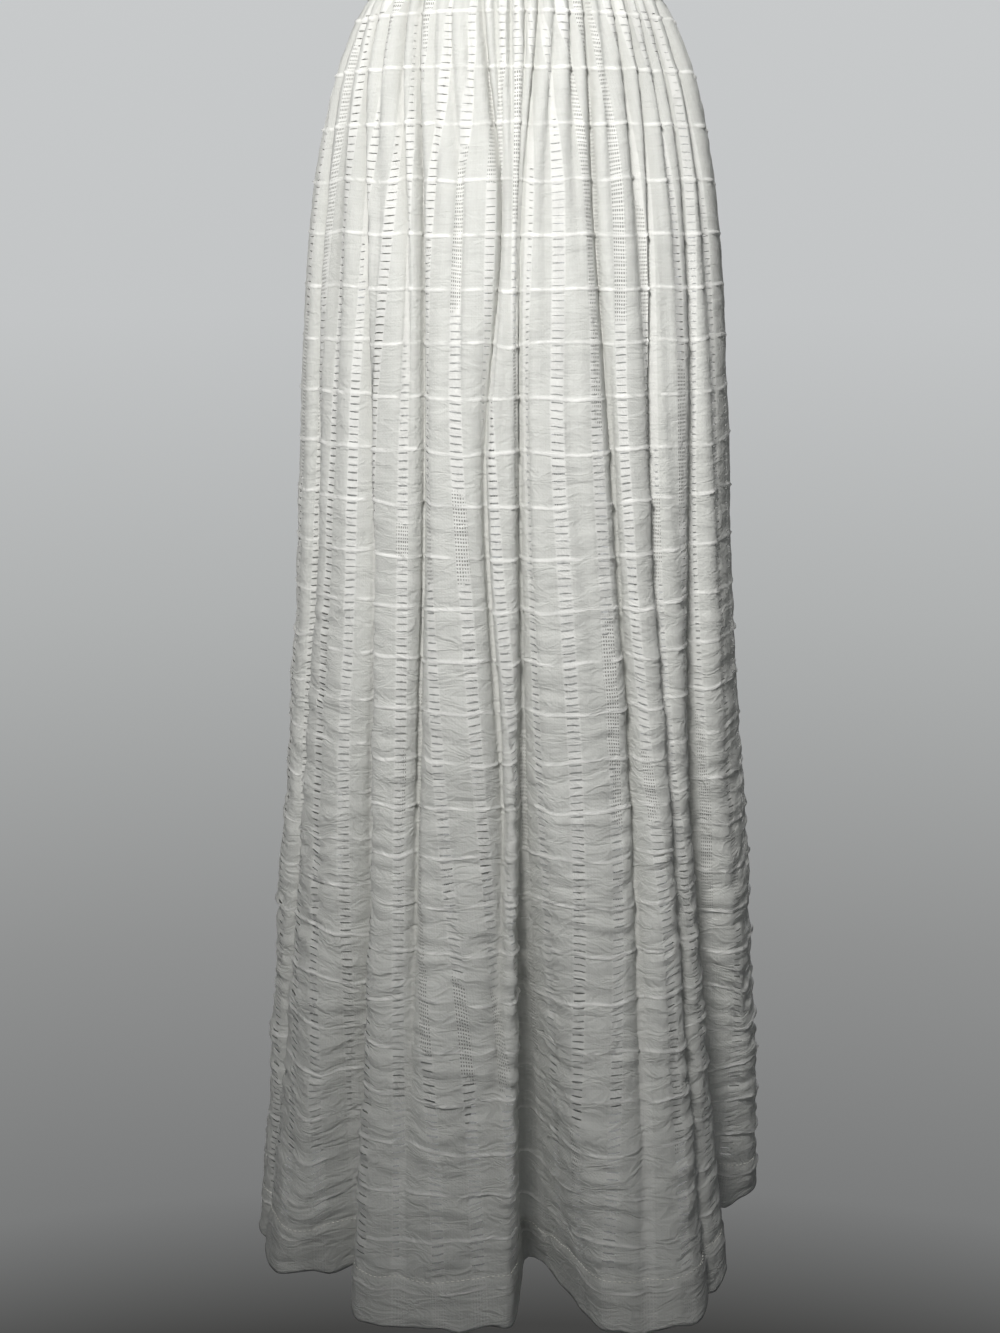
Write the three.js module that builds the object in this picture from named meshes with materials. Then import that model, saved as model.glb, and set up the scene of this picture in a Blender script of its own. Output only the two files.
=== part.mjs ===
// A sleeveless maxi dress of openwork cotton, hollow as if worn: two gathered skirt widths and a plain bodice.
// Millimetres, +Z up, the front faces -Y. The origin lies midway between the shoulder seams, where a wearer
// carries the dress, so the whole dress hangs below z = 0.
import * as THREE from 'three';

const BODICE_LENGTH = 410;
const SKIRT_LENGTH = 1050;
const HEM_TURN_UP = 42;
const CLOTH_WALL = 1.6;
const HEM_WALL = 2.6;
const SEAM_GAP = 0.3;
const FLARE_POWER = 2.2;
const MOUTH_POWER = 3;
const WAIST_MOUTH = 4.5;
const WAIST_SQUARE = 1.4;
const DRAWN_TO_FOLDS = 0.72;
const DRAWN_FULLY_BELOW = 320;
const GATHER_DEPTH = 5;
const LEAST_GATHER = 0.75;
const GATHER_SPREAD = 0.5;
const GATHER_AT_FOLD = 0.55;
const LONGEST_GATHER = 430;
const SHORTEST_GATHER = 110;
const COLUMNS_PER_GATHER = 3;

// The skirt's tables give a value at each of these distances down from the waist seam.
const LEVELS = [0, 150, 350, 600, 850, 1050];

// The oval that the skirt hangs round: half its width and half its depth at distances below the waist seam.
const OVAL = [
  { down: 0, halfWidth: 117, halfDepth: 98 },
  { down: 30, halfWidth: 132, halfDepth: 107 },
  { down: 75, halfWidth: 148, halfDepth: 118 },
  { down: 150, halfWidth: 163, halfDepth: 130 },
  { down: 270, halfWidth: 173, halfDepth: 143 },
  { down: 480, halfWidth: 184, halfDepth: 152 },
  { down: 660, halfWidth: 196, halfDepth: 158 },
  { down: 850, halfWidth: 207, halfDepth: 168 },
  { down: 1050, halfWidth: 220, halfDepth: 184 },
];

// One row for each large fold, as a valley seen from outside. turn is its direction from the front in degrees
// at each level and deep is how far it cuts in there. mouth is how far it spreads to each side at the hem, and
// square is how box-like it is there. rise is how far the cloth beside it stands out beyond the oval there.
// The cloth up to the next row holds so many gathers at the waist, and rounds out by swell at the hem.
const FRONT_FOLDS = [
  {
    turn: [-90, -90, -90, -90, -88, -86], deep: [3, 9, 13, 14, 10, 6],
    mouth: [9, 9], square: 1.4, rise: 8, gathers: 2, swell: 3,
  },
  {
    turn: [-78, -73, -70, -70, -72, -75], deep: [4, 14, 19, 18, 11, 6],
    mouth: [9, 9], square: 1.4, rise: 14, gathers: 2, swell: 6,
  },
  {
    turn: [-66, -54, -48, -46, -48, -51], deep: [4, 17, 24, 27, 38, 62],
    mouth: [12, 34], square: 2.2, rise: 26, gathers: 3, swell: 4,
  },
  {
    turn: [-42, -32, -28, -28, -27, -27], deep: [4, 16, 22, 19, 8, 3],
    mouth: [10, 10], square: 1.4, rise: 29, gathers: 4, swell: 0,
  },
  {
    turn: [-16, -6, -11, -5.5, -5, -6], deep: [4, 18, 23, 19, 5, 2],
    mouth: [10, 10], square: 1.4, rise: 18, gathers: 4, swell: 0,
  },
  {
    turn: [11, 3, 3, 5, 7.5, 9.3], deep: [4, 18, 25, 32, 62, 106],
    mouth: [26, 27], square: 5, rise: 10, gathers: 3, swell: 4,
  },
  {
    turn: [30, 26, 29, 33, 31, 28], deep: [4, 16, 22, 21, 9, 3],
    mouth: [11, 11], square: 1.4, rise: 46, gathers: 3, swell: 14,
  },
  {
    turn: [50, 47, 44, 46, 47, 46], deep: [4, 16, 21, 19, 9, 4],
    mouth: [10, 10], square: 1.4, rise: 30, gathers: 2, swell: 0,
  },
  {
    turn: [61, 60, 60, 62, 74, 88], deep: [4, 18, 24, 26, 36, 46],
    mouth: [105, 14], square: 2, rise: -6, gathers: 3, swell: 6,
  },
  {
    turn: [90, 90, 90, 92, 98, 106], deep: [3, 9, 13, 14, 10, 6],
    mouth: [9, 9], square: 1.4, rise: 15,
  },
];

const BACK_FOLDS = [
  {
    turn: [90, 90, 90, 92, 98, 106], deep: [3, 9, 13, 14, 10, 6],
    mouth: [9, 9], square: 1.4, rise: 15, gathers: 3, swell: 4,
  },
  {
    turn: [108, 111, 113, 112, 120, 126], deep: [4, 14, 21, 24, 33, 50],
    mouth: [24, 14], square: 2.2, rise: 16, gathers: 3, swell: 4,
  },
  {
    turn: [127, 132, 131, 136, 139, 143], deep: [4, 16, 21, 17, 8, 4],
    mouth: [10, 10], square: 1.4, rise: 25, gathers: 3, swell: 2,
  },
  {
    turn: [145, 146, 152, 151, 155, 160], deep: [4, 18, 25, 30, 50, 84],
    mouth: [17, 17], square: 3.5, rise: 16, gathers: 4, swell: 4,
  },
  {
    turn: [168, 172, 168, 174, 177, 178], deep: [4, 16, 22, 18, 8, 3],
    mouth: [10, 10], square: 1.4, rise: 24, gathers: 3, swell: 2,
  },
  {
    turn: [187, 188, 191, 190, 196, 199], deep: [4, 18, 24, 27, 42, 64],
    mouth: [14, 26], square: 2.6, rise: 15, gathers: 4, swell: 5,
  },
  {
    turn: [210, 213, 215, 218, 216, 220], deep: [4, 16, 22, 19, 9, 5],
    mouth: [10, 10], square: 1.4, rise: 26, gathers: 3, swell: 2,
  },
  {
    turn: [230, 231, 234, 237, 239, 240], deep: [4, 16, 21, 24, 35, 50],
    mouth: [15, 15], square: 2.4, rise: 13, gathers: 3, swell: 4,
  },
  {
    turn: [250, 252, 254, 253, 256, 258], deep: [4, 14, 19, 18, 12, 7],
    mouth: [9, 9], square: 1.4, rise: 12, gathers: 3, swell: 3,
  },
  {
    turn: [270, 270, 270, 270, 272, 274], deep: [3, 9, 13, 14, 10, 6],
    mouth: [9, 9], square: 1.4, rise: 8,
  },
];

// The skirt's rings, as distances down from the seam. The last three carry the turned-up hem.
const SKIRT_RINGS = [0, 14, 36, 70, 115, 175, 250, 340, 450, 570, 690, 800, 890, 960, 1004, 1008, 1050];

// The bodice's oval at heights above the waist seam, up to the underarm.
const BODICE_OVAL = [
  { up: 0, halfWidth: 117, halfDepth: 98 },
  { up: 60, halfWidth: 128, halfDepth: 104 },
  { up: 130, halfWidth: 146, halfDepth: 118 },
  { up: 170, halfWidth: 153, halfDepth: 124 },
  { up: 220, halfWidth: 160, halfDepth: 116 },
  { up: 410, halfWidth: 158, halfDepth: 104 },
];
const UNDERARM_HEIGHT = 215;
const NECK_HALF_WIDTH = 82;
const SHOULDER_TIP = 138;
const SHOULDER_SLOPE = 0.34;
const SHOULDER_ROUNDNESS = 2.4;
const FRONT_NECK_DROP = 105;
const BACK_NECK_DROP = 34;
const ARMHOLE_FULLNESS = 2.6;
const BODICE_ROWS = 12;

const COTTON = { color: 0xe9e6dc, roughness: 0.92, metalness: 0 };

// A number from 0 to 1 that looks random but is always the same for the same key.
function uneven(key) {
  const wave = Math.sin(key * 12.9898) * 43758.5453;
  return wave - Math.floor(wave);
}

// A smooth curve through the values given at rising places, with the slope at each taken from its neighbours.
function smoothThrough(places, values, at) {
  const last = places.length - 1;
  const here = Math.min(Math.max(at, places[0]), places[last]);
  let i = 0;
  while (i < last - 1 && here > places[i + 1]) i += 1;
  const slope = (k) => {
    const a = Math.max(k - 1, 0);
    const b = Math.min(k + 1, last);
    return (values[b] - values[a]) / (places[b] - places[a]);
  };
  const span = places[i + 1] - places[i];
  const t = (here - places[i]) / span;
  const rest = 1 - t;
  const ends = values[i] * (1 + 2 * t) * rest * rest + values[i + 1] * (3 - 2 * t) * t * t;
  const slopes = slope(i) * t * rest * rest - slope(i + 1) * t * t * rest;
  return ends + slopes * span;
}

// The distance from the axis to an oval of this half width and half depth, in a direction from the front.
function ovalReach(halfWidth, halfDepth, turn) {
  return 1 / Math.hypot(Math.sin(turn) / halfWidth, Math.cos(turn) / halfDepth);
}

// One width of the skirt as a function: place runs over its folds, one unit for each, and down is the distance
// from the waist seam. It gives the place in plan of the cloth's outer side.
function skirtWidth(folds) {
  const intervals = folds.length - 1;
  const downs = OVAL.map((row) => row.down);
  const widths = OVAL.map((row) => row.halfWidth);
  const depths = OVAL.map((row) => row.halfDepth);
  return (place, down) => {
    const i = Math.min(Math.floor(place), intervals - 1);
    const t = place - i;
    const [left, right] = [folds[i], folds[i + 1]];
    const settled = DRAWN_TO_FOLDS * Math.min(down / DRAWN_FULLY_BELOW, 1);
    const drawn = t - (settled * Math.sin(2 * Math.PI * t)) / (2 * Math.PI);
    const from = THREE.MathUtils.degToRad(smoothThrough(LEVELS, left.turn, down));
    const to = THREE.MathUtils.degToRad(smoothThrough(LEVELS, right.turn, down));
    const turn = from + (to - from) * drawn;
    const halfWidth = smoothThrough(downs, widths, down);
    const halfDepth = smoothThrough(downs, depths, down);
    const flare = (down / SKIRT_LENGTH) ** FLARE_POWER;
    const rise = left.rise + (right.rise - left.rise) * THREE.MathUtils.smoothstep(drawn, 0, 1);
    let reach = ovalReach(halfWidth, halfDepth, turn) + rise * flare;
    const opened = (down / SKIRT_LENGTH) ** MOUTH_POWER;
    for (const [fold, edge, side] of [[left, from, 1], [right, to, 0]]) {
      const mouth = WAIST_MOUTH + (fold.mouth[side] - WAIST_MOUTH) * opened;
      const square = WAIST_SQUARE + (fold.square - WAIST_SQUARE) * opened;
      const away = (Math.abs(turn - edge) * ovalReach(halfWidth, halfDepth, edge)) / mouth;
      reach -= smoothThrough(LEVELS, fold.deep, down) * Math.exp(-(away ** square));
    }
    reach += left.swell * flare * Math.sin(Math.PI * drawn);
    const phase = t * left.gathers;
    const nearest = Math.round(phase);
    const key = folds.indexOf(left) * 7 + nearest + folds[0].turn[0];
    const share = nearest > 0 && nearest < left.gathers ? 1 : GATHER_AT_FOLD;
    const size = share * (LEAST_GATHER + GATHER_SPREAD * uneven(key + 0.5));
    const runs = SHORTEST_GATHER + (LONGEST_GATHER - SHORTEST_GATHER) * uneven(key) ** 2;
    const dip = size * GATHER_DEPTH * Math.exp(-((down / runs) ** 2));
    reach -= dip * Math.cos(Math.PI * (phase - nearest)) ** 2;
    return new THREE.Vector2(reach * Math.sin(turn), -reach * Math.cos(turn));
  };
}

// A closed wall between an outer and an inner grid of points, both as rows of equal length.
function wallBetween(outer, inner) {
  const rows = outer.length;
  const columns = outer[0].length;
  const points = [...outer.flat(), ...inner.flat()];
  const out = (r, c) => r * columns + c;
  const back = (r, c) => rows * columns + r * columns + c;
  const triangles = [];
  const quad = (a, b, c, d) => triangles.push(a, b, c, a, c, d);
  for (let r = 0; r < rows - 1; r += 1) {
    for (let c = 0; c < columns - 1; c += 1) {
      quad(out(r, c), out(r + 1, c), out(r + 1, c + 1), out(r, c + 1));
      quad(back(r, c), back(r, c + 1), back(r + 1, c + 1), back(r + 1, c));
    }
    quad(out(r, 0), back(r, 0), back(r + 1, 0), out(r + 1, 0));
    quad(out(r, columns - 1), out(r + 1, columns - 1), back(r + 1, columns - 1), back(r, columns - 1));
  }
  for (let c = 0; c < columns - 1; c += 1) {
    quad(out(0, c), out(0, c + 1), back(0, c + 1), back(0, c));
    quad(out(rows - 1, c), back(rows - 1, c), back(rows - 1, c + 1), out(rows - 1, c + 1));
  }
  const geometry = new THREE.BufferGeometry();
  const flat = new Float32Array(points.flatMap((p) => [p.x, p.y, p.z]));
  geometry.setAttribute('position', new THREE.BufferAttribute(flat, 3));
  geometry.setIndex(triangles);
  geometry.computeVertexNormals();
  return geometry;
}

// The column places of a skirt width: a few for each gather, closed up to the seam lines by half the seam gap.
function skirtColumns(folds) {
  const places = [];
  folds.slice(0, -1).forEach((fold, i) => {
    const steps = fold.gathers * COLUMNS_PER_GATHER;
    for (let k = 0; k < steps; k += 1) places.push(i + k / steps);
  });
  places.push(folds.length - 1);
  return places;
}

// Moves a ring of plan points inwards by the cloth's thickness, square to the ring.
function movedIn(ring, thickness) {
  return ring.map((point, k) => {
    const before = ring[Math.max(k - 1, 0)];
    const after = ring[Math.min(k + 1, ring.length - 1)];
    const along = after.clone().sub(before).normalize();
    return new THREE.Vector2(point.x - along.y * thickness, point.y + along.x * thickness);
  });
}

// Draws the first and last points of a ring back along it, so that each lies half the seam gap to the side of
// the seam's own direction from the axis.
function seamTrimmed(ring) {
  const trimmed = ring.map((point) => point.clone());
  const last = ring.length - 1;
  for (const [end, next] of [[0, 1], [last, last - 1]]) {
    const along = ring[next].clone().sub(ring[end]).normalize();
    const sideways = Math.abs(along.cross(ring[end].clone().normalize()));
    trimmed[end].addScaledVector(along, SEAM_GAP / 2 / sideways);
  }
  return trimmed;
}

function skirtPanel(folds) {
  const place = skirtWidth(folds);
  const columns = skirtColumns(folds);
  const outer = [];
  const inner = [];
  for (const down of SKIRT_RINGS) {
    const height = -BODICE_LENGTH - SEAM_GAP / 2 - down;
    const ring = seamTrimmed(columns.map((share) => place(share, down)));
    const thickness = down > SKIRT_LENGTH - HEM_TURN_UP - 1 ? HEM_WALL : CLOTH_WALL;
    outer.push(ring.map((p) => new THREE.Vector3(p.x, p.y, height)));
    inner.push(movedIn(ring, thickness).map((p) => new THREE.Vector3(p.x, p.y, height)));
  }
  return wallBetween(outer, inner);
}

// The height of the shoulder seam above a distance from the middle, carried on flat across the neck.
function shoulderLine(fromMiddle) {
  return -Math.max(fromMiddle - NECK_HALF_WIDTH, 0) * SHOULDER_SLOPE;
}

// The cut edge at the top of a bodice panel: neck, then shoulder seam, then armhole.
function bodiceTop(across, neckDrop) {
  const fromMiddle = Math.abs(across);
  if (fromMiddle < NECK_HALF_WIDTH) {
    return -neckDrop * Math.sqrt(1 - (fromMiddle / NECK_HALF_WIDTH) ** 2);
  }
  return shoulderLine(fromMiddle);
}

// The columns of a bodice panel, as angles from its middle, with the height of each column's top edge.
function bodiceColumns(neckDrop) {
  const topWidth = BODICE_OVAL[BODICE_OVAL.length - 1].halfWidth;
  const half = [];
  const neckSteps = 7;
  for (let k = 0; k < neckSteps; k += 1) {
    const across = NECK_HALF_WIDTH * Math.sin((Math.PI / 2) * (k / neckSteps));
    half.push({ angle: Math.asin(across / topWidth), top: bodiceTop(across, neckDrop) });
  }
  const shoulderSteps = 3;
  for (let k = 0; k <= shoulderSteps; k += 1) {
    const across = NECK_HALF_WIDTH + ((SHOULDER_TIP - NECK_HALF_WIDTH) * k) / shoulderSteps;
    half.push({ angle: Math.asin(across / topWidth), top: shoulderLine(across) });
  }
  const armholeSteps = 8;
  const tipAngle = Math.asin(SHOULDER_TIP / topWidth);
  const underarm = UNDERARM_HEIGHT - BODICE_LENGTH;
  for (let k = 1; k <= armholeSteps; k += 1) {
    const round = (Math.PI / 2) * (k / armholeSteps);
    const drop = Math.sin(round) ** (2 / ARMHOLE_FULLNESS);
    const out = 1 - Math.cos(round) ** (2 / ARMHOLE_FULLNESS);
    const angle = tipAngle + (Math.PI / 2 - tipAngle) * out;
    half.push({ angle, top: shoulderLine(SHOULDER_TIP) + (underarm - shoulderLine(SHOULDER_TIP)) * drop });
  }
  const mirrored = half.slice(1).reverse().map((column) => ({ angle: -column.angle, top: column.top }));
  return [...mirrored, ...half];
}

// The bodice's outer side at an angle from the panel's middle and a height, on the front or the back.
function bodicePoint(angle, height, side) {
  const ups = BODICE_OVAL.map((row) => row.up);
  const up = height + BODICE_LENGTH;
  const halfWidth = smoothThrough(ups, BODICE_OVAL.map((row) => row.halfWidth), up);
  const halfDepth = smoothThrough(ups, BODICE_OVAL.map((row) => row.halfDepth), up);
  const across = halfWidth * Math.sin(angle);
  const seam = shoulderLine(Math.abs(across));
  const below = Math.min((seam - height) / (seam + BODICE_LENGTH - UNDERARM_HEIGHT), 1);
  const rounding = Math.max(1 - (1 - Math.max(below, 0)) ** SHOULDER_ROUNDNESS, 0) ** (1 / 2);
  const forward = halfDepth * Math.cos(angle) * rounding;
  return new THREE.Vector3(across * side, -side * Math.max(forward, 0), height);
}

function bodicePanel(side, neckDrop) {
  const columns = bodiceColumns(neckDrop);
  const bottom = -BODICE_LENGTH + SEAM_GAP / 2;
  const outer = [];
  for (let r = 0; r <= BODICE_ROWS; r += 1) {
    const rise = Math.sin((Math.PI / 2) * (r / BODICE_ROWS));
    outer.push(columns.map(({ angle, top }) => bodicePoint(angle, bottom + (top - bottom) * rise, side)));
  }
  outer.reverse();
  const inner = outer.map((row, r) => row.map((point, c) => {
    const acrossStep = row[Math.min(c + 1, row.length - 1)].clone().sub(row[Math.max(c - 1, 0)]);
    const below = outer[Math.min(r + 1, outer.length - 1)][c];
    const above = outer[Math.max(r - 1, 0)][c];
    const outwards = acrossStep.cross(above.clone().sub(below)).normalize();
    return point.clone().addScaledVector(outwards, -CLOTH_WALL);
  }));
  for (const grid of [outer, inner]) {
    for (const point of grid.flat()) point.y = -side * Math.max(-side * point.y, SEAM_GAP / 2);
  }
  return wallBetween(outer, inner);
}

function piece(name, geometry) {
  const mesh = new THREE.Mesh(geometry, new THREE.MeshStandardMaterial(COTTON));
  mesh.name = name;
  return mesh;
}

const dress = new THREE.Group();
dress.add(piece('skirt_front', skirtPanel(FRONT_FOLDS)));
dress.add(piece('skirt_back', skirtPanel(BACK_FOLDS)));
dress.add(piece('bodice_front', bodicePanel(1, FRONT_NECK_DROP)));
dress.add(piece('bodice_back', bodicePanel(-1, BACK_NECK_DROP)));

export default dress;
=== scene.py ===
# %% [markdown]
# A sleeveless maxi dress of ivory openwork cotton, filled out as if worn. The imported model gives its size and
# its hollow form. This script lays the real cloth over that form: a woven sheet with raised cords and open
# ladders.

# %% Load the frame
import bpy
import numpy as np
from mathutils import Euler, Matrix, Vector


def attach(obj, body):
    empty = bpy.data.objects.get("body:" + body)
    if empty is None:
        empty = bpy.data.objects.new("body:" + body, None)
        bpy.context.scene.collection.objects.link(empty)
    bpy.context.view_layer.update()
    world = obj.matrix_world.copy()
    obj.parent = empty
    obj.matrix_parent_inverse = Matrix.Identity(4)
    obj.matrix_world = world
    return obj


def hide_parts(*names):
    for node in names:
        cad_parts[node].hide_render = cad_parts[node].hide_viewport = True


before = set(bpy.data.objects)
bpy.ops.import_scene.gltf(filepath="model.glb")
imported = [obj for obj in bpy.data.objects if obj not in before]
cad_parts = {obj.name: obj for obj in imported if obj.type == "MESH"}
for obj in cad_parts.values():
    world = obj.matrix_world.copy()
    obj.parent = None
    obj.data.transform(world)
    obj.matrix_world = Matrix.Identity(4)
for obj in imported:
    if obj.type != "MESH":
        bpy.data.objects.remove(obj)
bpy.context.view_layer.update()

MM = 0.001

# %% [markdown]
# The camera comes first. It stands about 1.5 m in front of the dress, a little below waist height, and looks
# down by 14 degrees, so the skirt fills the frame and its hem is seen from above.

# %% Place the camera
IMAGE_HEIGHT = 1333
FOCAL_PIXELS = 1800
SENSOR = 36
CAMERA_PLACE = (-12, -1500, -575)
LOOKS_DOWN = 14

camera_data = bpy.data.cameras.new("camera")
camera_data.sensor_width = SENSOR
camera_data.lens = SENSOR * FOCAL_PIXELS / IMAGE_HEIGHT
camera = bpy.data.objects.new("camera", camera_data)
camera.location = Vector(CAMERA_PLACE) * MM
camera.rotation_euler = Euler((np.radians(90 - LOOKS_DOWN), 0, 0))
bpy.context.collection.objects.link(camera)
bpy.context.scene.camera = camera
print("camera lens", round(camera_data.lens, 1), "mm")

# %% [markdown]
# The skirt's form is a function of two numbers: a share that runs across the folds, and the distance down
# from the waist seam. An oval that widens towards the hem is cut into by valleys, one row of a table for
# each. The same sizes shape the frame, so the cloth lies on it. Short smooth curves carry each value from
# level to level.

# %% Sizes of the dress, in millimetres
BODICE_LENGTH = 410
SKIRT_LENGTH = 1050
HEM_TURN_UP = 42
HEM_LINE = SKIRT_LENGTH - HEM_TURN_UP
LEVELS = np.array([0, 150, 350, 600, 850, 1050])

# The flare and the valleys' mouths grow with these powers of the share of the way down.
FLARE_POWER = 2.2
MOUTH_POWER = 3

# A crease at the waist: half width, how box-like it is, its share of the table's depth, where that grows to
# all of it, and how far it leans sideways for its depth.
CREASE_MOUTH = 4.6
CREASE_SQUARE = 1.25
CREASE_SHARE = 0.62
CREASE_DEEPENS_FROM, CREASE_DEEPENS_TO = 300, 800
CREASE_LEAN = 0.3

# How strongly the cloth is drawn towards the valleys, and the distance down from which it is so in full.
DRAWN_TO_FOLDS = 0.72
DRAWN_FULLY_BELOW = 320

# The waist's gathers: depth, narrowness, the room that a full one needs and the share that a crowded one
# keeps, least size and spread of sizes, size of one that meets a valley, and how far down they run.
GATHER_DEPTH = 7
GATHER_NARROWNESS = 4
GATHER_ROOM = 14
CROWDED_GATHER = 0.25
LEAST_GATHER = 0.55
GATHER_SPREAD = 0.9
GATHER_AT_FOLD = 0.55
SHORTEST_GATHER = 110
LONGEST_GATHER = 430

# Columns: distance down from the seam, half width, half depth.
OVAL = np.array([
    [0, 117, 98],
    [30, 132, 107],
    [75, 148, 118],
    [150, 163, 130],
    [270, 173, 143],
    [480, 184, 152],
    [660, 196, 158],
    [850, 207, 168],
    [1050, 220, 184],
])

# Columns: direction at each level in degrees, depth there, spread to the left and right at the hem, how box-
# like it is there, rise at the hem, gathers and swell up to the next row.
FRONT_FOLDS = [
    ([-90, -90, -90, -90, -88, -86], [3, 9, 13, 14, 10, 6], (9, 9), 1.4, 8, 2, 3),
    ([-78, -73, -70, -70, -72, -75], [4, 14, 19, 18, 11, 6], (9, 9), 1.4, 14, 2, 6),
    ([-66, -54, -48, -46, -48, -51], [4, 17, 24, 27, 38, 62], (12, 34), 2.2, 26, 3, 4),
    ([-42, -32, -28, -28, -27, -27], [4, 16, 22, 19, 8, 3], (10, 10), 1.4, 29, 4, 0),
    ([-16, -6, -11, -5.5, -5, -6], [4, 11, 19, 19, 5, 2], (10, 10), 1.4, 18, 4, 0),
    ([11, 3, 3, 5, 7.5, 9.3], [4, 11, 22, 32, 62, 106], (26, 27), 5, 10, 3, 4),
    ([30, 26, 29, 33, 31, 28], [4, 16, 22, 21, 9, 3], (11, 11), 1.4, 46, 3, 14),
    ([50, 47, 44, 46, 47, 46], [4, 16, 21, 19, 9, 4], (10, 10), 1.4, 30, 2, 0),
    ([61, 60, 60, 62, 74, 88], [4, 18, 24, 26, 36, 46], (105, 14), 2, -6, 3, 6),
    ([90, 90, 90, 92, 98, 106], [3, 9, 13, 14, 10, 6], (9, 9), 1.4, 15, 0, 0),
]
BACK_FOLDS = [
    ([90, 90, 90, 92, 98, 106], [3, 9, 13, 14, 10, 6], (9, 9), 1.4, 15, 3, 4),
    ([108, 111, 113, 112, 120, 126], [4, 14, 21, 24, 33, 50], (24, 14), 2.2, 16, 3, 4),
    ([127, 132, 131, 136, 139, 143], [4, 16, 21, 17, 8, 4], (10, 10), 1.4, 25, 3, 2),
    ([145, 146, 152, 151, 155, 160], [4, 18, 25, 30, 50, 84], (17, 17), 3.5, 16, 4, 4),
    ([168, 172, 168, 174, 177, 178], [4, 16, 22, 18, 8, 3], (10, 10), 1.4, 24, 3, 2),
    ([187, 188, 191, 190, 196, 199], [4, 18, 24, 27, 42, 64], (14, 26), 2.6, 15, 4, 5),
    ([210, 213, 215, 218, 216, 220], [4, 16, 22, 19, 9, 5], (10, 10), 1.4, 26, 3, 2),
    ([230, 231, 234, 237, 239, 240], [4, 16, 21, 24, 35, 50], (15, 15), 2.4, 13, 3, 4),
    ([250, 252, 254, 253, 256, 258], [4, 14, 19, 18, 12, 7], (9, 9), 1.4, 12, 3, 3),
    ([270, 270, 270, 270, 272, 274], [3, 9, 13, 14, 10, 6], (9, 9), 1.4, 8, 0, 0),
]


# %% The skirt's form
def smooth_through(places, values, at):
    """A smooth curve through values at rising places, with the slope between its neighbours at each."""
    places, values = np.asarray(places, float), np.asarray(values, float)
    last = len(places) - 1
    at = np.clip(at, places[0], places[-1])
    before = np.maximum(np.arange(last + 1) - 1, 0)
    after = np.minimum(np.arange(last + 1) + 1, last)
    slopes = (values[after] - values[before]) / (places[after] - places[before])
    i = np.clip(np.searchsorted(places, at, side="right") - 1, 0, last - 1)
    span = places[i + 1] - places[i]
    t = (at - places[i]) / span
    rest = 1 - t
    ends = values[i] * (1 + 2 * t) * rest**2 + values[i + 1] * (3 - 2 * t) * t**2
    return ends + (slopes[i] * t * rest**2 - slopes[i + 1] * t**2 * rest) * span


def uneven(key):
    """A number from 0 to 1 that looks random but is always the same for the same key."""
    wave = np.sin(key * 12.9898) * 43758.5453
    return wave - np.floor(wave)


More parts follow.
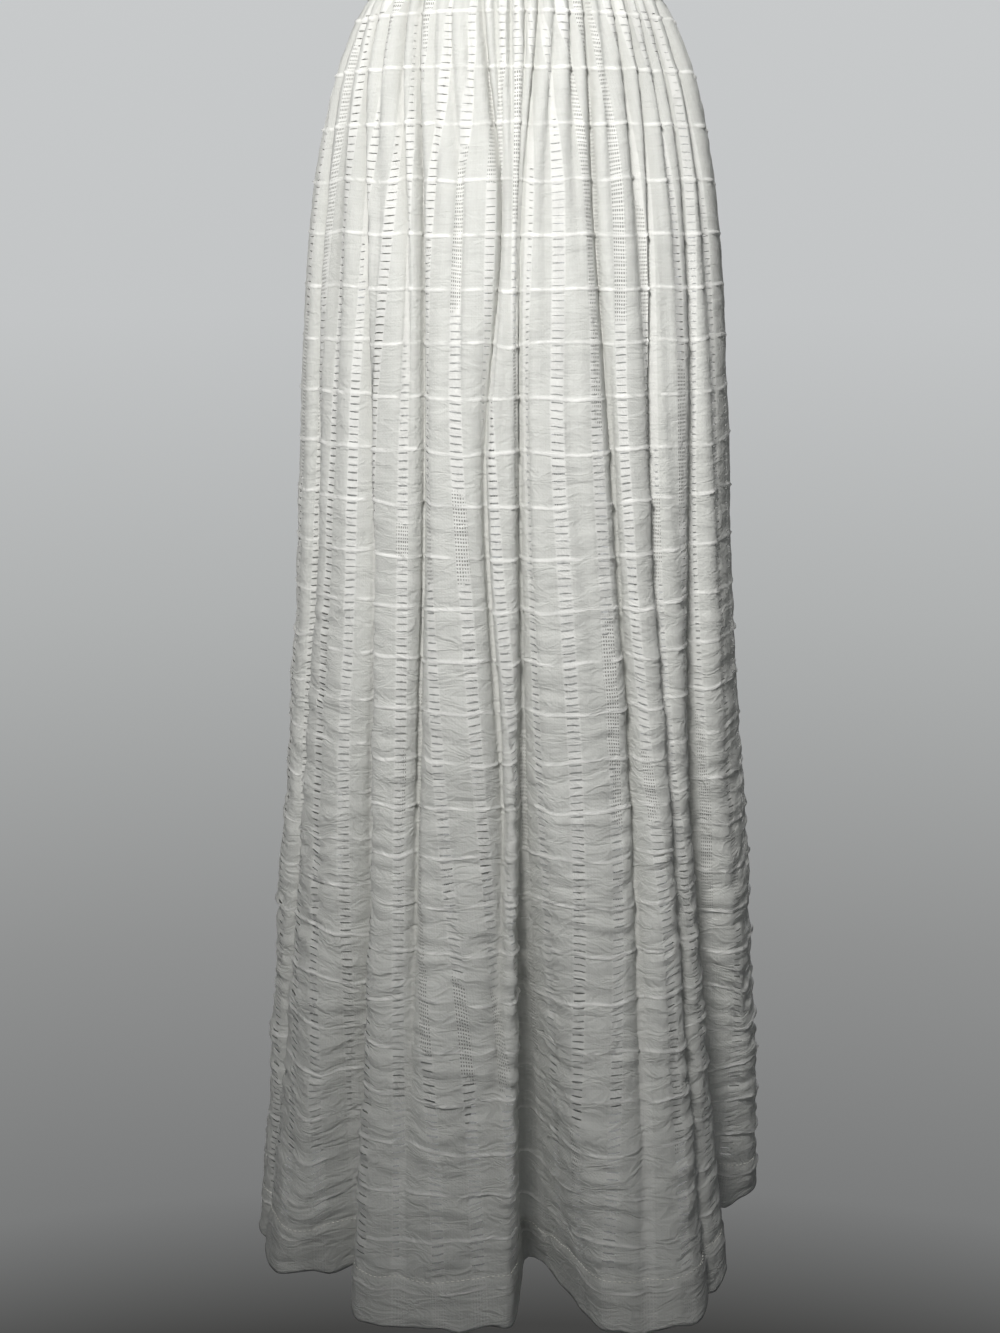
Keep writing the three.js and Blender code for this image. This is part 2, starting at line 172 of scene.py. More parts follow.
def skirt_plan(folds, share, down):
    """The cloth's outer side in plan, x and y, and how far each point lies into a crease, from 0 to 1. share
    is (rows, columns) and down is (rows, 1). The reach from the axis is the oval's, plus the flare, minus
    each neighbouring valley, which fades away from its line, minus the waist's gathers, which fade downwards.
    High on the skirt a valley is a narrow, shallower crease that leans to one side, so its one edge laps
    over. The two at the side seams don't lean, so front and back meet there. A gather with little room is
    shallower."""
    turns = np.array([smooth_through(LEVELS, f[0], down[:, 0]) for f in folds])
    deeps = np.array([smooth_through(LEVELS, f[1], down[:, 0]) for f in folds])
    deepened = (down[:, 0] - CREASE_DEEPENS_FROM) / (CREASE_DEEPENS_TO - CREASE_DEEPENS_FROM)
    deeps = deeps * (CREASE_SHARE + (1 - CREASE_SHARE) * np.clip(deepened, 0, 1))
    mouths = np.array([f[2] for f in folds], float)
    squares, rises, gathers, swells = np.array([f[3:] for f in folds], float).T
    row = np.broadcast_to(np.arange(len(down))[:, None], share.shape)
    i = np.clip(np.floor(share).astype(int), 0, len(folds) - 2)
    t = share - i
    settled = DRAWN_TO_FOLDS * np.minimum(down / DRAWN_FULLY_BELOW, 1)
    drawn = t - settled * np.sin(2 * np.pi * t) / (2 * np.pi)
    left, right = np.radians(turns[i, row]), np.radians(turns[i + 1, row])
    turn = left + (right - left) * drawn
    half_width = smooth_through(OVAL[:, 0], OVAL[:, 1], down)
    half_depth = smooth_through(OVAL[:, 0], OVAL[:, 2], down)
    flare = (down / SKIRT_LENGTH) ** FLARE_POWER
    ease = drawn**2 * (3 - 2 * drawn)
    reach = 1 / np.hypot(np.sin(turn) / half_width, np.cos(turn) / half_depth)
    reach = reach + (rises[i] + (rises[i + 1] - rises[i]) * ease) * flare
    crease = np.zeros_like(reach)
    lean = np.zeros_like(reach)
    opened = (down / SKIRT_LENGTH) ** MOUTH_POWER
    for fold, edge, side in ((i, left, 1), (i + 1, right, 0)):
        mouth = CREASE_MOUTH + (mouths[fold, side] - CREASE_MOUTH) * opened
        square = CREASE_SQUARE + (squares[fold] - CREASE_SQUARE) * opened
        edge_reach = 1 / np.hypot(np.sin(edge) / half_width, np.cos(edge) / half_depth)
        valley = np.exp(-((np.abs(turn - edge) * edge_reach / mouth) ** square))
        reach = reach - deeps[fold, row] * valley
        crease = crease + valley
        way = np.where(fold % 2 == 0, 1, -1) * CREASE_LEAN * (1 - opened)
        way = way * ((fold > 0) & (fold < len(folds) - 1))
        lean = lean + way * deeps[fold, row] * valley
    reach = reach + swells[i] * flare * np.sin(np.pi * drawn)
    phase = t * gathers[i]
    nearest = np.round(phase)
    # Seven is more than the gathers of any row, so each gather has a key of its own.
    key = i * 7 + nearest + folds[0][0][0]
    inner = np.where((nearest > 0) & (nearest < gathers[i]), 1, GATHER_AT_FOLD)
    runs = SHORTEST_GATHER + (LONGEST_GATHER - SHORTEST_GATHER) * uneven(key) ** 2
    size = inner * (LEAST_GATHER + GATHER_SPREAD * uneven(key + 0.5)) * np.exp(-((down / runs) ** 2))
    bump = np.abs(np.cos(np.pi * (phase - nearest))) ** GATHER_NARROWNESS
    pitch = (right - left) * reach / np.maximum(gathers[i], 1)
    bump = bump * np.clip(pitch / GATHER_ROOM, CROWDED_GATHER, 1)
    reach = reach - size * GATHER_DEPTH * bump
    crease = crease + size * bump
    x = reach * np.sin(turn) + lean * np.cos(turn)
    y = lean * np.sin(turn) - reach * np.cos(turn)
    return x, y, crease


# %% [markdown]
# The cotton is woven with open ladders up its length and raised cords across it. The mesh is laid along the
# threads: its columns follow the ladders' edges and its rows the cords and slits, so each slit is a real hole
# where faces are left out. Cloth keeps its width as it folds, so the columns are spread by cloth length at
# each height, and what doesn't fit the visible form is taken up deep in the creases, as in the real gathers.

# %% The weave's sizes
CORD_PITCH = 40
LADDER_PITCH = 32
LADDERS = 28
CLOTH_WIDTH = LADDER_PITCH * LADDERS
FIRST_CORD = 17
SLITS_PER_CORD = 7
SLIT_HEIGHT = 1.55
CORD_HALF = 1.9

# Within one pitch: the columns' places, where a slit lies between them, and where the ladder's rungs show.
LADDER_COLUMNS = np.array([0, 4.6, 9.2, 10.8, 15.6, 20.4, 22, 27])
HOLE_FROM, HOLE_TO = 10.8, 20.4
LADDER_FROM, LADDER_TO = 10, 21.4

# Rows nearer than this to an end of the cloth are left out.
MARGIN = 0.8


def thread_rows(first, last, cord_from):
    """Row places along the cloth: three on each cord, two for each slit between cords, and their kinds: 1 on
    a cord, 2 at a slit's upper edge, 3 at its lower edge and 0 elsewhere."""
    places, kinds = [], []
    cord = cord_from - CORD_PITCH * np.ceil((cord_from - first) / CORD_PITCH + 1)
    while cord < last + CORD_PITCH:
        places += [cord - CORD_HALF, cord, cord + CORD_HALF]
        kinds += [0, 1, 0]
        middles = cord + CORD_PITCH * (np.arange(SLITS_PER_CORD) + 0.5) / SLITS_PER_CORD
        for middle in middles:
            places += [middle - SLIT_HEIGHT / 2, middle + SLIT_HEIGHT / 2]
            kinds += [2, 3]
        cord += CORD_PITCH
    places, kinds = np.array(places), np.array(kinds)
    keep = (places > first + MARGIN) & (places < last - MARGIN)
    return np.concatenate([[first], places[keep], [last]]), np.concatenate([[0], kinds[keep], [0]])


def thread_columns(ladders):
    """Column places across the cloth, eight for each ladder."""
    places = (np.arange(ladders)[:, None] * LADDER_PITCH + LADDER_COLUMNS[None, :]).ravel()
    return np.concatenate([places, [ladders * LADDER_PITCH]])


print("cloth of one skirt width:", CLOTH_WIDTH, "by", SKIRT_LENGTH + HEM_TURN_UP, "mm")


# %% [markdown]
# Soft unevenness comes from a lattice of seeded random heights joined by smooth curves. Several sizes of it
# make the long undulations of the hanging cloth, the puckers between the cords and the crinkle near the hem.

# %% Smooth unevenness
def lattice_noise(across, along, cell_across, cell_along, seed):
    """Smooth noise from -1 to 1 at (rows, columns) of cloth places, on a random lattice of cells of this
    size."""
    rng = np.random.default_rng(seed)
    x = across / cell_across
    y = along / cell_along
    x = x - np.floor(x.min()) + 1
    y = y - np.floor(y.min()) + 1
    heights = rng.uniform(-1, 1, (int(y.max()) + 3, int(x.max()) + 3))
    ix, iy = np.floor(x).astype(int), np.floor(y).astype(int)
    fx, fy = x - ix, y - iy
    fx, fy = fx * fx * (3 - 2 * fx), fy * fy * (3 - 2 * fy)
    top = heights[iy, ix] * (1 - fx) + heights[iy, ix + 1] * fx
    low = heights[iy + 1, ix] * (1 - fx) + heights[iy + 1, ix + 1] * fx
    return top * (1 - fy) + low * fy


def ramp(value, start, end):
    """0 below start, 1 above end, and a smooth rise between."""
    t = np.clip((value - start) / (end - start), 0, 1)
    return t * t * (3 - 2 * t)


# Columns: place across the cloth, top and bottom of the crease, depth (minus is a ridge), half width, slant.
FRONT_CREASES = np.array([
    [96, 60, 420, 3, 4, -14],
    [118, 180, 620, 2.6, 9, 10],
    [206, 420, 800, 3.2, 8, -16],
    [232, 40, 560, 3.2, 4, 18],
    [262, 90, 470, -2.2, 8, 6],
    [300, 300, 760, 3.4, 4, -22],
    [330, 520, 1010, 3.8, 11, 22],
    [372, 50, 520, 3, 4, 12],
    [402, 260, 640, 2.4, 9, -12],
    [446, 640, 1040, 4, 12, 14],
    [474, 150, 700, 3.2, 4, -20],
    [508, 120, 560, -2, 8, -6],
    [540, 60, 620, 3.6, 4, 26],
    [561, 380, 900, 2.8, 12, 18],
    [602, 200, 640, 3, 4, -16],
    [618, 700, 1045, 4.2, 13, -20],
    [664, 150, 600, 2.6, 7, 8],
    [706, 60, 480, 3.2, 4, 16],
    [742, 480, 960, 3.4, 11, -14],
    [806, 220, 640, -2.4, 10, 10],
])
BACK_CREASES = np.array([
    [62, 80, 520, 3, 4, 14],
    [96, 260, 700, 2.8, 10, -12],
    [170, 540, 1000, 3.6, 11, 16],
    [214, 60, 480, 3.2, 4, -18],
    [248, 130, 520, -2.2, 8, 8],
    [322, 420, 880, 3.4, 9, -18],
    [356, 180, 680, 3, 4, 20],
    [398, 200, 590, 2.4, 9, 12],
    [470, 650, 1040, 4, 12, 20],
    [512, 50, 540, 3.4, 4, -14],
    [548, 160, 620, -2.4, 9, -8],
    [622, 500, 930, 3, 11, -14],
    [660, 120, 620, 3.2, 4, 18],
    [700, 300, 760, 3, 11, 14],
    [790, 600, 1030, 3.8, 12, -16],
    [834, 90, 500, 3, 4, -10],
])


def crease_relief(across, along, creases):
    """Soft troughs and ridges: each is a bell across its line, and grows and dies away along it."""
    relief = np.zeros(np.broadcast(across, along).shape)
    for place, top, bottom, depth, half, slant in creases:
        t = np.clip((along - top) / (bottom - top), 0, 1)
        line = place + slant * (t - 0.5)
        relief -= depth * np.exp(-(((across - line) / half) ** 2)) * np.sin(np.pi * t) ** 1.3
    return relief


# %% [markdown]
# Grids of points become meshes with whole arrays. Faces that the weave leaves open are masked out, the cloth
# places are kept as a UV map in metres, and a few numbers at each point say where cords, ladders, nets and
# creases lie. The crease number is painted shade: it darkens the colour in the skirt's creases and the bodice's
# gathers.

# %% Grids to meshes
def add_surface(name, points, faces_kept, uv, marks, material):
    """A mesh from (rows, columns, 3) points in mm. faces_kept is (rows - 1, columns - 1). The first row is
    the top one and columns run to the right as seen from outside, so faces point outwards."""
    rows, columns = points.shape[:2]
    index = np.arange(rows * columns).reshape(rows, columns)
    quads = np.stack([index[:-1, :-1], index[1:, :-1], index[1:, 1:], index[:-1, 1:]], axis=-1)[faces_kept]
    used, flat = np.unique(quads.ravel(), return_inverse=True)
    mesh = bpy.data.meshes.new(name)
    mesh.vertices.add(len(used))
    mesh.vertices.foreach_set("co", (points.reshape(-1, 3)[used] * MM).ravel())
    mesh.loops.add(len(flat))
    mesh.loops.foreach_set("vertex_index", flat.astype(np.int32))
    mesh.polygons.add(len(quads))
    mesh.polygons.foreach_set("loop_start", np.arange(0, len(flat), 4, dtype=np.int32))
    mesh.polygons.foreach_set("use_smooth", np.ones(len(quads), dtype=bool))
    mesh.update(calc_edges=True)
    layer = mesh.uv_layers.new(name="cloth")
    layer.data.foreach_set("uv", (uv.reshape(-1, 2)[used][flat] * MM).ravel())
    for label, values in marks.items():
        attribute = mesh.attributes.new(label, "FLOAT", "POINT")
        attribute.data.foreach_set("value", values.reshape(-1)[used].astype(np.float32))
    piece = bpy.data.objects.new(name, mesh)
    bpy.context.collection.objects.link(piece)
    mesh.materials.append(material)
    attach(piece, "root")
    print(name, len(quads), "faces")
    return piece


def unit(vectors):
    """The same directions, one unit long."""
    return vectors / np.maximum(np.linalg.norm(vectors, axis=-1, keepdims=True), 1e-9)


def outward(points):
    """Unit normals of a grid of points: the direction down its columns crossed with the one along its
    rows."""
    return unit(np.cross(np.gradient(points, axis=0), np.gradient(points, axis=1)))


def length_along(points):
    """How far each point of a path lies from its start, along the path."""
    return np.concatenate([[0], np.cumsum(np.linalg.norm(np.diff(points, axis=0), axis=1))])


def at_places(places, far, values):
    """Values at places on a path, from those that are known at the distances far."""
    return np.stack([np.interp(places, far, values[:, k]) for k in range(3)], axis=1)


# %% [markdown]
# The cloth is a thin unbleached cotton in a plain weave. It is matt, with a little fuzz that catches the
# light at grazing angles, and thin enough that light comes through it, which greys the ground between the
# ladders. Where threads are drawn together, in the rungs of a ladder and in the cords, it is whiter. Threads
# are 0.4 mm apart, too fine to show, so they are drawn coarser. Some ladders keep their upright threads:
# there the open squares are too small to cut and are drawn as a fine net, with painted shade in its squares
# for the dark seen through them. Crumples finer than the mesh are relief in the material.

# %% Material helpers
def linear(hex_colour):
    """The linear RGBA of an sRGB hex value."""
    channels = np.array([int(hex_colour[i:i + 2], 16) for i in (1, 3, 5)]) / 255
    return (*np.where(channels <= 0.04045, channels / 12.92, ((channels + 0.055) / 1.055) ** 2.4), 1)


def add_node(tree, kind, values=None):
    """Adds one node. values are its settings and what its sockets get, by name or number: a value, another
    node, which gives its first output, or a chosen output."""
    node = tree.nodes.new(kind)
    for key, value in (values or {}).items():
        source = value.outputs[0] if isinstance(value, bpy.types.Node) else value
        if isinstance(source, bpy.types.NodeSocket):
            tree.links.new(source, node.inputs[key])
        elif isinstance(key, int) or key in node.inputs:
            node.inputs[key].default_value = value
        else:
            setattr(node, key, value)
    return node


# %% The cotton
GROUND = "#E1E2DF"
GROUND_DEEP = "#D2D3D0"
RUNG_WHITE = "#F7F7F5"
CORD_WHITE = "#FDFDFB"
# Painted shade in the net's open squares, for the dark seen through them.
NET_HOLE_PAINTED_SHADE = "#9C9C99"
# Painted shade for the creases and gathers, laid on by their crease mark.
CREASE_PAINTED_SHADE = "#C6C6C1"
RUNG_TINT = 0.65
# Share of the painted crease shade where the crease mark is full.
CREASE_PAINTED_SHADE_SHARE = 0.6

# The drawn threads, the net's cells across and along, and the share of a cell that is thread each way.
THREAD_DRAWN = 1.5 * MM
NET_ACROSS = 2.1 * MM
NET_ALONG = CORD_PITCH / SLITS_PER_CORD / 2 * MM
NET_THREAD_ACROSS, NET_THREAD_ALONG = 0.42, 0.5

# Cells in each metre across and along: blotches are 110 mm wide, slubs 1.4 mm thick and about 22 mm long on
# either set of threads, and crumples 25 mm wide and 12 mm high.
BLOTCH_SCALE = 9
SLUB_SCALES = ((700, 45, 1), (40, 760, 1))
CRUMPLE_SCALE = (40, 84, 1)

# Relief of threads and crumples, how much threads count in the fine bump and slubs in the tone, and the share
# of light let through.
THREAD_RELIEF = 0.6 * MM
CRUMPLE_RELIEF = 2 * MM
THREAD_SHARE = 0.22
SLUB_SHARE = 0.45
THROUGH = 0.3


def woven_cotton(name):
    """Ground, rungs, net, cords and creases are tinted one over another, by the marks on the cloth's points.
    The net's open squares and the creases and gathers are painted with shade.
    Threads and slubs are a fine bump over crumples, which grow with the distance down the cloth."""
    material = bpy.data.materials.new(name)
    material.use_nodes = True
    tree = material.node_tree
    tree.nodes.clear()
    uv = add_node(tree, "ShaderNodeUVMap", {"uv_map": "cloth"})
    split = add_node(tree, "ShaderNodeSeparateXYZ", {"Vector": uv})
    marks = {
        label: add_node(tree, "ShaderNodeAttribute", {"attribute_name": label}).outputs["Fac"]
        for label in ("cord", "ladder", "net", "crease")
    }
    blotch = add_node(tree, "ShaderNodeTexNoise", {
        "Scale": BLOTCH_SCALE, "Detail": 4, "Roughness": 0.6, "Vector": uv})
    slubs = {"operation": "ADD"}
    for i, scale in enumerate(SLUB_SCALES):
        drawn = add_node(tree, "ShaderNodeMapping", {"Scale": scale, "Vector": uv})
        slubs[i] = add_node(tree, "ShaderNodeTexNoise", {
            "Scale": 1, "Detail": 3, "Roughness": 0.55, "Vector": drawn})
    slub = add_node(tree, "ShaderNodeMath", slubs)
    # The net's open squares, which get painted shade.
    gaps = {"operation": "MULTIPLY"}
    net_sides = (("X", NET_ACROSS, NET_THREAD_ACROSS), ("Y", NET_ALONG, NET_THREAD_ALONG))
    for i, (axis, size, thread) in enumerate(net_sides):
        cells = add_node(tree, "ShaderNodeMath", {"operation": "DIVIDE", 0: split.outputs[axis], 1: size})
        within = add_node(tree, "ShaderNodeMath", {"operation": "FRACT", 0: cells})
        gaps[i] = add_node(tree, "ShaderNodeMath", {"operation": "GREATER_THAN", 0: within, 1: thread})
    squares = add_node(tree, "ShaderNodeMath", gaps)
    shade = add_node(tree, "ShaderNodeMath", {"operation": "MULTIPLY_ADD", 0: slub, 1: SLUB_SHARE, 2: blotch})
    tint = add_node(tree, "ShaderNodeMapRange", {"From Min": 0.65, "From Max": 1.2, "Value": shade})
    corded = add_node(tree, "ShaderNodeMapRange", {
        "From Min": 0.08, "From Max": 0.65, "Value": marks["cord"]})
    colour = add_node(tree, "ShaderNodeMix", {
        "data_type": "RGBA", 0: tint, 6: linear(GROUND_DEEP), 7: linear(GROUND)}).outputs[2]
    # Layers in turn: rungs, the net's open squares in painted shade, cords, and painted shade in creases and
    # gathers.
    layers = [
        (marks["ladder"], RUNG_TINT, RUNG_WHITE),
        (squares, marks["net"], NET_HOLE_PAINTED_SHADE),
        (corded, 1, CORD_WHITE),
        (marks["crease"], CREASE_PAINTED_SHADE_SHARE, CREASE_PAINTED_SHADE),
    ]
    for mark, share, tone in layers:
        amount = add_node(tree, "ShaderNodeMath", {"operation": "MULTIPLY", 0: mark, 1: share})
        colour = add_node(tree, "ShaderNodeMix", {
            "data_type": "RGBA", 0: amount, 6: colour, 7: linear(tone)}).outputs[2]
    threads = add_node(tree, "ShaderNodeMapping", {
        "Scale": (1 / THREAD_DRAWN, 1 / THREAD_DRAWN, 1), "Vector": uv})
    weave = add_node(tree, "ShaderNodeTexChecker", {"Scale": 1, "Vector": threads}).outputs["Fac"]
    height = add_node(tree, "ShaderNodeMath", {
        "operation": "MULTIPLY_ADD", 0: weave, 1: THREAD_SHARE, 2: slub})
    spread = add_node(tree, "ShaderNodeMapping", {"Scale": CRUMPLE_SCALE, "Vector": uv})
    folded = add_node(tree, "ShaderNodeTexNoise", {
        "Scale": 1, "Detail": 2.5, "Roughness": 0.6, "Distortion": 0.7, "Vector": spread})
    centred = add_node(tree, "ShaderNodeMath", {"operation": "SUBTRACT", 0: folded, 1: 0.5})
    ridge = add_node(tree, "ShaderNodeMath", {"operation": "ABSOLUTE", 0: centred})
    growth = add_node(tree, "ShaderNodeMapRange", {
        "From Min": 0.15, "From Max": 0.8, "To Min": -0.8, "To Max": -3.2, "Value": split.outputs["Y"]})
    crumples = add_node(tree, "ShaderNodeMath", {"operation": "MULTIPLY", 0: ridge, 1: growth})
    coarse = add_node(tree, "ShaderNodeBump", {
        "Strength": 0.7, "Distance": CRUMPLE_RELIEF, "Height": crumples})
    bump = add_node(tree, "ShaderNodeBump", {
        "Strength": 0.5, "Distance": THREAD_RELIEF, "Height": height, "Normal": coarse})
    cloth = add_node(tree, "ShaderNodeBsdfPrincipled", {
        "Base Color": colour, "Roughness": 0.9, "IOR": 1.5, "Specular IOR Level": 0.15,
        "Sheen Weight": 0.15, "Sheen Roughness": 0.5, "Normal": bump})
    glow = add_node(tree, "ShaderNodeBsdfTranslucent", {"Color": colour, "Normal": bump})
    mixed = add_node(tree, "ShaderNodeMixShader", {0: THROUGH, 1: cloth, 2: glow})
    add_node(tree, "ShaderNodeOutputMaterial", {"Surface": mixed})
    print(name, len(tree.nodes), "nodes")
    return material


cotton = woven_cotton("woven_ivory_cotton")

# %% [markdown]
# The weave itself is the same on every piece. A cord is a soft slub yarn, thick in some places and thin in
# others. Each slit gapes by its own amount. In about a fifth of the ladders' lengths the slits stay shut as a
# net.

# %% Weave on a thread grid
CORD_RELIEF = 1.25
NET_FROM_HIGH, NET_FROM_LOW = 0.5, 0.3
LADDER_SINK = 0.3
LADDER_FADE = 0.6
SLIT_LEAST, SLIT_SPREAD = 0.58, 0.22
SLIT_END_GAPE = 0.7
LEAST_GAPE, MOST_GAPE = 0.2, 1.25
HEM_NET = 0.22
NEARLY = 0.1


def weave_marks(across, along, kinds, lower, openness, seed, shut_below=None):
    """Cord, ladder and net marks of a thread grid, how far each point slides along the cloth as its slit
    opens, and which of its faces are kept. lower is 0 where the cloth is smoothest and 1 where it is most
    crumpled: there the ladders are greyer and more of them are net. openness is the share of its full gape
    that a slit has at each height."""
    place = np.mod(across, LADDER_PITCH)
    ladder = ((place > LADDER_FROM) & (place < LADDER_TO)).astype(float)
    slub = 0.72 + 0.75 * lattice_noise(across, along, 13, CORD_PITCH, seed)
    slub = slub + 0.45 * lattice_noise(across, along, 5, CORD_PITCH, seed + 1)
    cord = (kinds == 1)[:, None] * np.clip(slub, 0.12, 1.7)
    net_from = NET_FROM_HIGH + (NET_FROM_LOW - NET_FROM_HIGH) * lower
    patches = lattice_noise(across, along, 1.6 * LADDER_PITCH, 2.5 * CORD_PITCH, seed + 2)
    netted = (patches > net_from).astype(float)
    if shut_below is not None:
        netted = np.where(along > shut_below, HEM_NET, netted)
    gape = SLIT_LEAST + SLIT_SPREAD * (1 + lattice_noise(across, along, 0.9 * LADDER_PITCH, 14, seed + 3))
    gape = gape * openness
    mid_slit = np.abs(place - (HOLE_FROM + HOLE_TO) / 2) < 1
    gape = np.where(mid_slit, gape, SLIT_END_GAPE * gape)
    in_hole = (place >= HOLE_FROM - NEARLY) & (place <= HOLE_TO + NEARLY)
    slide = in_hole * (1 - np.clip(gape, LEAST_GAPE, MOST_GAPE)) * SLIT_HEIGHT / 2
    slide = slide * ((kinds == 2).astype(float) - (kinds == 3).astype(float))[:, None]
    columns_open = in_hole[:-1, :-1] & in_hole[:-1, 1:] & (place[:-1, :-1] < HOLE_TO - NEARLY)
    kept = ~((kinds[:-1] == 2)[:, None] & columns_open & (netted[:-1, :-1] == 0))
    return cord, ladder, ladder * (1 - LADDER_FADE * lower), netted * ladder, slide, kept


def cloth_relief(across, along, lower, seed):
    """How far the cloth stands out from its form, in mm: long undulations, puckers that lie flat between the
    cords, pinched ridges and fine crinkle, all but the first of which grow with lower."""
    long_waves = 1.5 * lattice_noise(across, along, 60, 190, seed)
    medium = (0.5 + lower) * lattice_noise(across, along, 34, 48, seed + 1)
    between = np.sin(np.pi * np.mod(along - FIRST_CORD, CORD_PITCH) / CORD_PITCH)
    puckers = (0.45 + 1.75 * lower) * (0.35 + 0.65 * between) * lattice_noise(across, along, 24, 8, seed + 2)
    pinches = 1 - 2 * np.abs(lattice_noise(across + 0.3 * along, along, 30, 10, seed + 20))
    crinkle = (0.2 + 0.5 * lower) * lattice_noise(across, along, 12, 5, seed + 3)
    return long_waves + medium + puckers + (0.15 + 0.95 * lower) * pinches + crinkle


# %% [markdown]
# Each skirt width is one sheet. At the hem it turns in and runs up inside to a row of stitches, so its last
# 42 mm are double, and their slits are closed by the layer behind. The edge hangs a little unevenly.

# %% Skirt widths
FORM_SAMPLES = 1800
LEAST_TAKEN, MOST_TAKEN = 0.3, 4
SMOOTH_ABOVE, CRUMPLED_BELOW = 220, 900
SHUT_NEAR_WAIST = 12
SHUT_IN_CREASE = 0.62
SEAM_TUCK = 1.4
SEAM_BLEND = 7
HEM_THICKNESS = 0.9
STITCH_GROOVE = 1.1
HEM_SWAG = 4
HEM_SCALLOP = 6
HEM_FOLD = 1.6
HEM_ROWS = 20


def cloth_shares(folds, down, across):
    """For each row, the fold shares where the cloth's columns lie. Cloth length is the arc along the form,
    and the creases take up as much more or less as makes the whole row the cloth's width."""
    steps = np.linspace(0, len(folds) - 1, FORM_SAMPLES)
    x, y, crease = skirt_plan(folds, np.broadcast_to(steps, (len(down), FORM_SAMPLES)), down)
    arc = np.hypot(np.diff(x, axis=1), np.diff(y, axis=1))
    taken = (crease[:, 1:] + crease[:, :-1]) / 2
    spare = (CLOTH_WIDTH - arc.sum(1)) / (arc * taken).sum(1)
    length = np.cumsum(arc * np.clip(1 + spare[:, None] * taken, LEAST_TAKEN, MOST_TAKEN), axis=1)
    length = np.concatenate([np.zeros((len(down), 1)), length], axis=1)
    length *= CLOTH_WIDTH / length[:, -1:]
    return np.array([np.interp(across, row, steps) for row in length])


def skirt_relief(across, along, crease, cord, ladder, creases, lower, seed):
    """How far a skirt width stands out from its form, in mm. Relief and creases die away at the seams and are
    flatter deep in a valley and in the hem. The hem is thicker, with a groove along its stitches, and the
    cloth tucks in at the waist and side seams."""
    edge = np.minimum(across, CLOTH_WIDTH - across)
    held = ramp(along, 0, 25) * ramp(edge, 0, 14)
    stitched = np.exp(-(((along - HEM_LINE) / 3) ** 2))
    in_hem = ramp(along, HEM_LINE - 20, HEM_LINE + 4)
    relief = cloth_relief(across, along, lower, seed) * (1 - 0.75 * np.clip(crease, 0, 1))
    relief = relief + crease_relief(across, along, creases)
    relief = relief * (1 - 0.4 * stitched) * (1 - 0.45 * in_hem) * held
    relief = relief + CORD_RELIEF * (1 + 0.45 * lower) * cord * (1 - 0.4 * in_hem) - LADDER_SINK * ladder
    relief = relief + HEM_THICKNESS * ramp(along, HEM_LINE - 2, HEM_LINE + 2) - STITCH_GROOVE * stitched
    return relief - SEAM_TUCK * (1 - ramp(along, 0, 5)) - SEAM_TUCK * (1 - ramp(edge, 0, 4))


def skirt_sway(across, along, lower, seed):
    """How far each point lies above its thread's level, in mm: cords rise and dip, more so where the cloth is
    crumpled, and the hem hangs in long swags with short scallops."""
    sway = (2.2 + 4.2 * lower) * lattice_noise(across, along, 46, 64, seed + 5) * ramp(along, 0, 120)
    sway = sway + (0.7 + 1.6 * lower) * lattice_noise(across, along, 15, 34, seed + 4) * ramp(along, 0, 60)
    swags = HEM_SWAG * lattice_noise(across, along, 55, 400, seed + 6) * ramp(along, 500, SKIRT_LENGTH)
    scallops = HEM_SCALLOP * lattice_noise(across, along, 19, 400, seed + 12)
    return sway + (swags + scallops * ramp(along, HEM_LINE, SKIRT_LENGTH))


